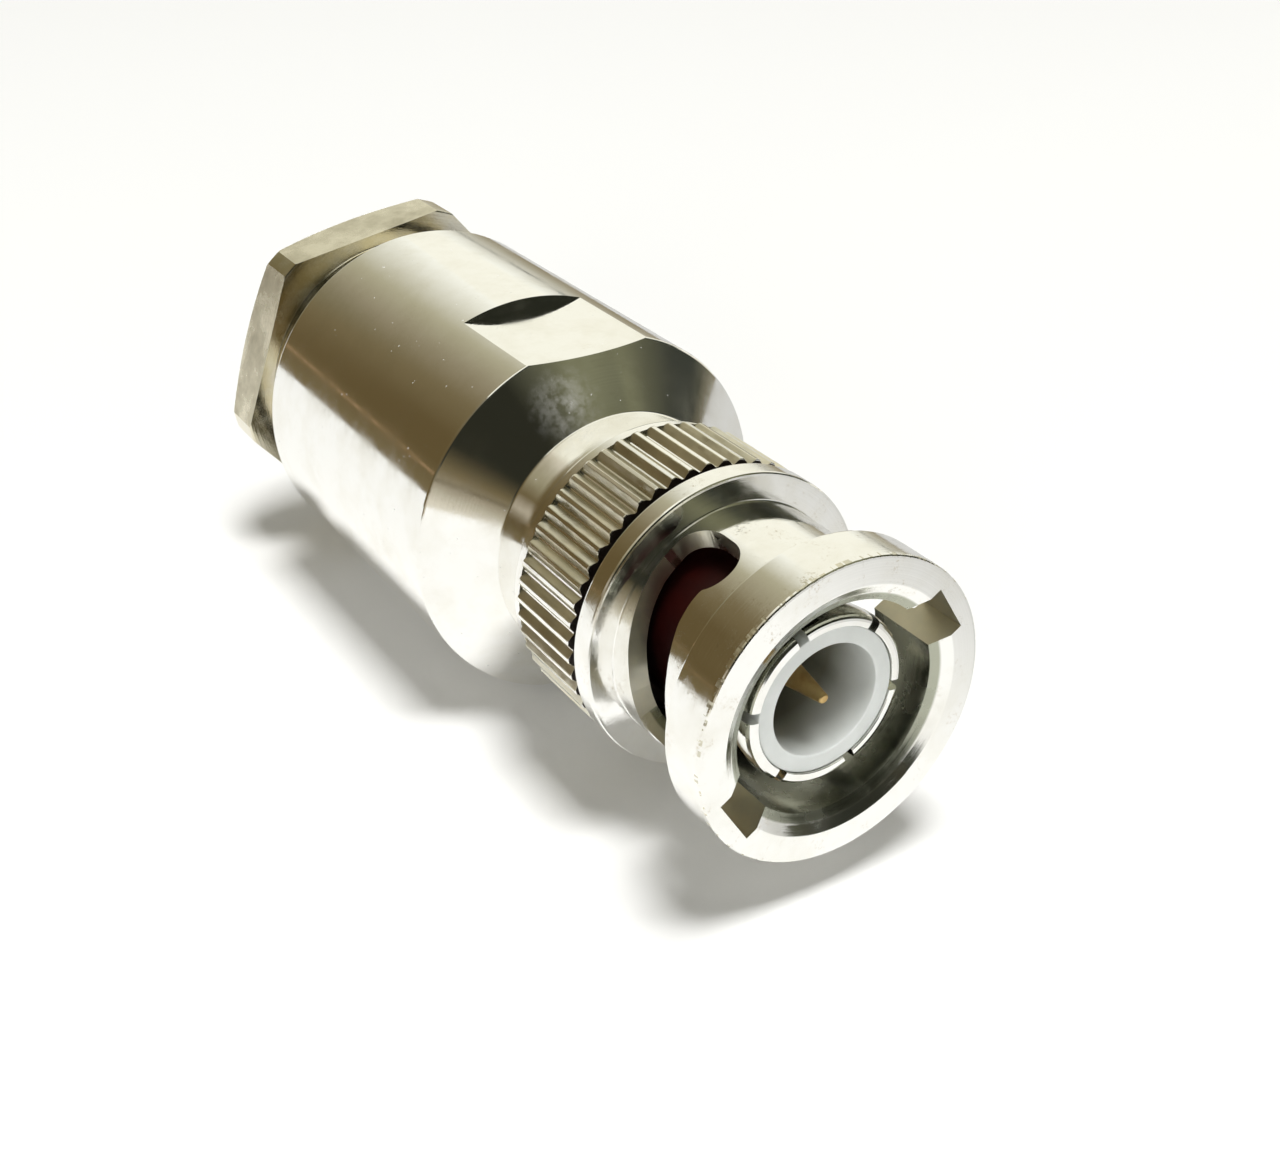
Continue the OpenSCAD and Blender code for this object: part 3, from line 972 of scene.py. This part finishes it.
class PLUG_OT_wave_springs(Operator):
    """Makes the two wave springs in their free shape; the nut squeezes them as it is pulled"""

    bl_idname = "plug.wave_springs"
    bl_label = "Wave springs"

    def execute(self, context):
        z = context.scene.plug_springs
        outline = [(z.inner_r, -z.strip / 2), (z.outer_r, -z.strip / 2),
                   (z.outer_r, z.strip / 2), (z.inner_r, z.strip / 2)]
        for i, node in enumerate(("wave_spring_front", "wave_spring_rear")):
            middle = z.place_s + i * z.pitch
            spring = turned(f"{node}_strip", [(r, s + middle) for r, s in outline],
                            z.steps,
                            shift_at=lambda turn: z.wave * math.cos(3 * turn + math.pi * i))
            finish_piece(spring, "plug", node, "spring_strip")
            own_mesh(spring)
        return {"FINISHED"}


class PLUG_OT_inner_parts(Operator):
    """Gives the washers, braid clamp and cable gasket their finishes"""

    bl_idname = "plug.inner_parts"
    bl_label = "Inner parts"

    def execute(self, context):
        finishes = {
            "thrust_washer": "turned_brass", "clamp_washer": "turned_brass",
            "braid_clamp": "bright_nickel", "cable_gasket": "moulded_rubber",
        }
        for node, kind in finishes.items():
            frame["nodes"][node].data.materials[0] = material_named(kind)
        return {"FINISHED"}


# ---------------------------------------------------------------- stage


def seen_by(tree):
    """The light path, and a 1 for what the camera, a mirror or a clear thing sees."""
    path = add(tree, "ShaderNodeLightPath").outputs
    seen = math_node(tree, "MAXIMUM", path["Is Camera Ray"], math_node(
        tree, "MAXIMUM", path["Is Glossy Ray"], path["Is Transmission Ray"]))
    return path, seen


def add_floor(context):
    """A wide pale floor, lifted towards white, that keeps the plug's shadow.

    The lift is a faint glow that lights nothing. To the right of the plug the floor carries
    painted shade that only the metal's reflections see."""
    stage = context.scene.plug_stage
    half = 2.0
    verts = [(-half, -half, 0), (half, -half, 0), (half, half, 0), (-half, half, 0)]
    floor = mesh_object("floor", [Vector(v) for v in verts], [(0, 1, 2, 3)])
    material, tree, shader = new_material("pale_floor")
    shader.inputs["Base Color"].default_value = (*context.scene.plug_finish.floor, 1.0)
    shader.inputs["Roughness"].default_value = 0.9
    shader.inputs["Specular IOR Level"].default_value = 0.1
    path, seen = seen_by(tree)
    glow = add(tree, "ShaderNodeEmission")
    tree.links.new(times(tree, seen, stage.lift), glow.inputs["Strength"])
    lifted = add(tree, "ShaderNodeAddShader")
    tree.links.new(shader.outputs[0], lifted.inputs[0])
    tree.links.new(glow.outputs[0], lifted.inputs[1])
    # painted shade: glossy rays see the floor darker to the right of the plug
    across = split_xyz(tree, own_place(tree))["Y"]
    painted_reflection_shade = times(tree, path["Is Glossy Ray"],
                    remap(tree, across, 11 * MM, 24 * MM, 0.0, 0.34))
    dark = add(tree, "ShaderNodeEmission")
    dark.inputs["Strength"].default_value = 0.0
    dim = add(tree, "ShaderNodeMixShader")
    tree.links.new(painted_reflection_shade, dim.inputs[0])
    tree.links.new(lifted.outputs[0], dim.inputs[1])
    tree.links.new(dark.outputs[0], dim.inputs[2])
    tree.links.new(dim.outputs[0], tree.nodes["Material Output"].inputs["Surface"])
    floor.data.materials.append(material)


def add_world(context):
    """Even warm light all round, and white behind everything that the camera sees."""
    stage = context.scene.plug_stage
    world = bpy.data.worlds.new("studio")
    context.scene.world = world
    world.use_nodes = True
    tree = world.node_tree
    path, seen = seen_by(tree)
    background = tree.nodes["Background"].inputs
    tree.links.new(mix_colour(tree, path["Is Camera Ray"], stage.sky_tint, (1.0, 1.0, 1.0)),
                   background["Color"])
    tree.links.new(add_share(tree, stage.sky, seen, 1.0 - stage.sky),
                   background["Strength"])


def colour_ramp(tree, factor, stops, first, last):
    """A colour ramp whose stops are (degrees, painted reflection tone) between two azimuths."""
    ramp = add(tree, "ShaderNodeValToRGB")
    elements = ramp.color_ramp.elements
    elements.remove(elements[0])
    for i, (degrees, reflection_tone) in enumerate(stops):
        spot = (degrees - first) / (last - first)
        stop = elements[0] if i == 0 else elements.new(spot)
        stop.position = spot
        stop.color = (*REFLECTION_TONES[reflection_tone], 1.0)
    tree.links.new(factor, ramp.inputs[0])
    return ramp.outputs["Color"]


def add_screen(name, first, last, top, reach, bands):
    """A curved glowing screen with a mat in front, seen only in the metal's reflections: painted
    reflections round the plug.

    first and last are its azimuths and top its highest elevation, in degrees. bands lists
    (elevation, painted reflection tones round the plug) from the foot up, and reach is the mat's
    distance from the plug in the middle and at the ends."""
    radius = 0.6
    foot = 0.4 * MM
    steps = 64
    rows = 14
    verts = []
    for i in range(steps + 1):
        a = math.radians(first + (last - first) * i / steps)
        near = reach[0] + (reach[1] - reach[0]) * abs(2 * i / steps - 1) ** 3
        verts.append(Vector((near * math.cos(a), near * math.sin(a), foot)))
        for k in range(rows + 1):
            e = math.radians(top) * k / rows
            verts.append(Vector((radius * math.cos(e) * math.cos(a),
                                 radius * math.cos(e) * math.sin(a),
                                 foot + radius * math.sin(e))))
    screen = mesh_object(name, verts, grid_faces(steps + 1, rows + 2, closed=False))
    material, tree, shader = new_material(name + "_glow")
    tree.nodes.remove(shader)
    aim = add(tree, "ShaderNodeVectorMath", operation="SUBTRACT")
    tree.links.new(own_place(tree), aim.inputs[0])
    aim.inputs[1].default_value = (0.0, 0.0, AXIS_Z)
    unit = add(tree, "ShaderNodeVectorMath", operation="NORMALIZE")
    tree.links.new(aim.outputs[0], unit.inputs[0])
    x, y, z = split_xyz(tree, unit.outputs[0])
    azimuth = math_node(tree, "WRAP", math_node(tree, "ARCTAN2", y, x),
                        math.radians(first + 360), math.radians(first))
    place_on = remap(tree, azimuth, math.radians(first), math.radians(last))
    elevation = math_node(tree, "ARCSINE", z)
    # painted reflections: tones by azimuth, blended between the bands
    colour = colour_ramp(tree, place_on, bands[0][1], first, last)
    for (low, _), (high, stops) in zip(bands, bands[1:]):
        share = remap(tree, elevation, math.radians(low), math.radians(high))
        colour = mix_colour(tree, share, colour,
                            colour_ramp(tree, place_on, stops, first, last))
    # painted reflection: a thin bright line round the screen
    line = math_node(tree, "COMPARE", elevation, math.radians(REFLECTED_LINE_UP),
                     math.radians(REFLECTED_LINE_HALF))
    colour = mix_colour(tree, line, colour,
                        colour_ramp(tree, place_on, REFLECTED_LINE, first, last))
    glow = add(tree, "ShaderNodeEmission")
    tree.links.new(colour, glow.inputs["Color"])
    tree.links.new(glow.outputs[0], tree.nodes["Material Output"].inputs["Surface"])
    screen.data.materials.append(material)
    screen.visible_camera = False
    screen.visible_diffuse = False
    screen.visible_shadow = False
    screen.visible_transmission = False


# The tones painted on the screens as reflections, by name.
REFLECTION_TONES = {
    "white": (1.0, 1.0, 0.9), "cream": (0.8, 0.75, 0.62), "sand": (0.62, 0.56, 0.45),
    "tan": (0.45, 0.42, 0.29), "dun": (0.3, 0.26, 0.17), "olive": (0.2, 0.2, 0.12),
    "ginger": (0.35, 0.23, 0.12), "brown": (0.18, 0.14, 0.07), "umber": (0.12, 0.085, 0.035),
    "grey": (0.1, 0.1, 0.065), "slate": (0.045, 0.048, 0.038), "shade": (0.024, 0.024, 0.016),
    "black": (0.01, 0.011, 0.006),
}
# For each elevation in degrees, the painted reflection tones by azimuth in degrees.
SCREEN_BANDS = (
    (-2, ((-200, "white"), (-178, "tan"), (-160, "brown"), (-90, "brown"), (-60, "sand"),
          (-45, "cream"), (-35, "dun"), (-20, "slate"), (60, "grey"), (75, "slate"),
          (86, "dun"))),
    (9, ((-200, "white"), (-178, "tan"), (-165, "brown"), (-150, "umber"), (-90, "umber"),
         (-50, "dun"), (-37, "brown"), (-25, "shade"), (-10, "shade"), (60, "slate"),
         (77, "slate"), (86, "grey"))),
    (18, ((-200, "white"), (-179, "tan"), (-168, "olive"), (-158, "brown"), (-150, "umber"),
          (-135, "umber"), (-122, "brown"), (-112, "sand"), (-102, "brown"), (-80, "slate"),
          (-30, "shade"), (-10, "shade"), (10, "black"), (28, "black"), (45, "shade"),
          (61, "grey"), (70, "slate"), (86, "slate"))),
    (28, ((-200, "white"), (-179, "tan"), (-168, "dun"), (-158, "brown"), (-140, "umber"),
          (-115, "brown"), (-100, "umber"), (-60, "shade"), (20, "shade"), (35, "slate"),
          (45, "grey"), (50, "olive"), (61, "grey"), (72, "slate"), (86, "slate"))),
    (40, ((-200, "white"), (-180, "tan"), (-168, "dun"), (-154, "brown"), (-140, "brown"),
          (-121, "tan"), (-105, "brown"), (-60, "shade"), (-10, "shade"), (5, "grey"),
          (21, "olive"), (50, "olive"), (62, "grey"), (86, "slate"))),
    (56, ((-200, "white"), (-178, "tan"), (-150, "tan"), (-131, "cream"), (-115, "dun"),
          (-60, "slate"), (0, "slate"), (21, "olive"), (50, "olive"), (86, "slate"))),
)
# A thin bright line painted round the screen as a reflection: its elevation and half its width
# in degrees, and its tones by azimuth.
REFLECTED_LINE_UP = 5.0
REFLECTED_LINE_HALF = 0.45
REFLECTED_LINE = (
    (-200, "white"), (-178, "tan"), (-158, "ginger"), (-148, "ginger"), (-120, "umber"),
    (86, "slate"),
)
# The painted reflection tones of the screen on the far side.
FAR_BANDS = (
    (-4, ((112, "cream"), (122, "dun"), (150, "dun"), (165, "cream"))),
    (13, ((112, "white"), (165, "white"))),
)


def add_lamp(name, azimuth, elevation, distance, size, energy):
    """A square soft lamp that faces the plug."""
    lamp = bpy.data.lights.new(name, "AREA")
    lamp.shape = "SQUARE"
    lamp.size = size
    lamp.energy = energy
    a = math.radians(azimuth)
    e = math.radians(elevation)
    away = Vector((math.cos(e) * math.cos(a), math.cos(e) * math.sin(a), math.sin(e)))
    holder = bpy.data.objects.new(name, lamp)
    holder.location = away * distance
    holder.rotation_euler = away.to_track_quat("Z", "Y").to_euler()
    holder.visible_glossy = False
    bpy.context.scene.collection.objects.link(holder)


def add_camera(context):
    """A camera in front, to the side and above, looking back along the plug."""
    stage = context.scene.plug_stage
    lens = bpy.data.cameras.new("camera")
    lens.lens = stage.lens
    lens.sensor_width = 36.0
    lens.sensor_fit = "HORIZONTAL"
    lens.clip_start = 0.002
    lens.clip_end = 20.0
    camera = bpy.data.objects.new("camera", lens)
    forward = Vector(stage.look).normalized()
    side = forward.cross(Vector((0, 0, 1))).normalized()
    up = side.cross(forward)
    camera.matrix_world = Matrix.Translation(
        Vector((FRONT_X, 0, AXIS_Z)) + Vector(stage.eye)) @ Matrix(
        (side, up, -forward)).transposed().to_4x4()
    context.scene.collection.objects.link(camera)
    context.scene.camera = camera


class PLUG_OT_stage(Operator):
    """Makes the camera, lamps, floor, world and the screen of painted reflections that the metal
    mirrors
    """

    bl_idname = "plug.stage"
    bl_label = "Stage"

    def execute(self, context):
        stage = context.scene.plug_stage
        context.scene.view_settings.view_transform = "Standard"
        add_camera(context)
        add_floor(context)
        add_world(context)
        add_screen("dark_reflection_screen", first=-200, last=86, top=62, reach=(0.13, 0.6),
                   bands=SCREEN_BANDS)
        add_screen("far_reflection_screen", first=112, last=165, top=14, reach=(0.1, 0.3),
                   bands=FAR_BANDS)
        add_lamp("key", azimuth=0, elevation=78, distance=1.5, size=0.45, energy=stage.key)
        add_lamp("fill", azimuth=-48, elevation=20, distance=0.4, size=0.12,
                 energy=stage.fill)
        return {"FINISHED"}


class PLUG_PT_panel(Panel):
    """Lists the plug's pieces and its stage"""

    bl_idname = "PLUG_PT_panel"
    bl_label = "Plug"
    bl_space_type = "VIEW_3D"
    bl_region_type = "UI"
    bl_category = "Plug"

    def draw(self, context):
        for maker in MAKERS:
            self.layout.operator(maker.bl_idname)
        for group in GROUPS:
            box = self.layout.box()
            settings = getattr(context.scene, group)
            for name in settings.__annotations__:
                box.prop(settings, name)


GROUPS = {
    "plug_nut": PlugNutSizes,
    "plug_core": PlugCoreSizes,
    "plug_springs": PlugSpringSizes,
    "plug_body": PlugBodySizes,
    "plug_finish": PlugFinish,
    "plug_stage": PlugStage,
}
MAKERS = (
    PLUG_OT_stage, PLUG_OT_body, PLUG_OT_outer_contact, PLUG_OT_centre_contact,
    PLUG_OT_insulators, PLUG_OT_front_gasket, PLUG_OT_coupling_nut, PLUG_OT_clamp_nut,
    PLUG_OT_wave_springs, PLUG_OT_inner_parts,
)


def register():
    for name, group in GROUPS.items():
        bpy.utils.register_class(group)
        setattr(bpy.types.Scene, name, PointerProperty(type=group))
    for maker in MAKERS:
        bpy.utils.register_class(maker)
    bpy.utils.register_class(PLUG_PT_panel)


def unregister():
    bpy.utils.unregister_class(PLUG_PT_panel)
    for maker in reversed(MAKERS):
        bpy.utils.unregister_class(maker)
    for name, group in reversed(GROUPS.items()):
        delattr(bpy.types.Scene, name)
        bpy.utils.unregister_class(group)


def main():
    register()
    bpy.ops.plug.stage()
    bpy.ops.plug.body()
    bpy.ops.plug.outer_contact()
    bpy.ops.plug.centre_contact()
    bpy.ops.plug.insulators()
    bpy.ops.plug.front_gasket()
    bpy.ops.plug.coupling_nut()
    bpy.ops.plug.clamp_nut()
    bpy.ops.plug.wave_springs()
    bpy.ops.plug.inner_parts()


if __name__ == "__main__":
    main()
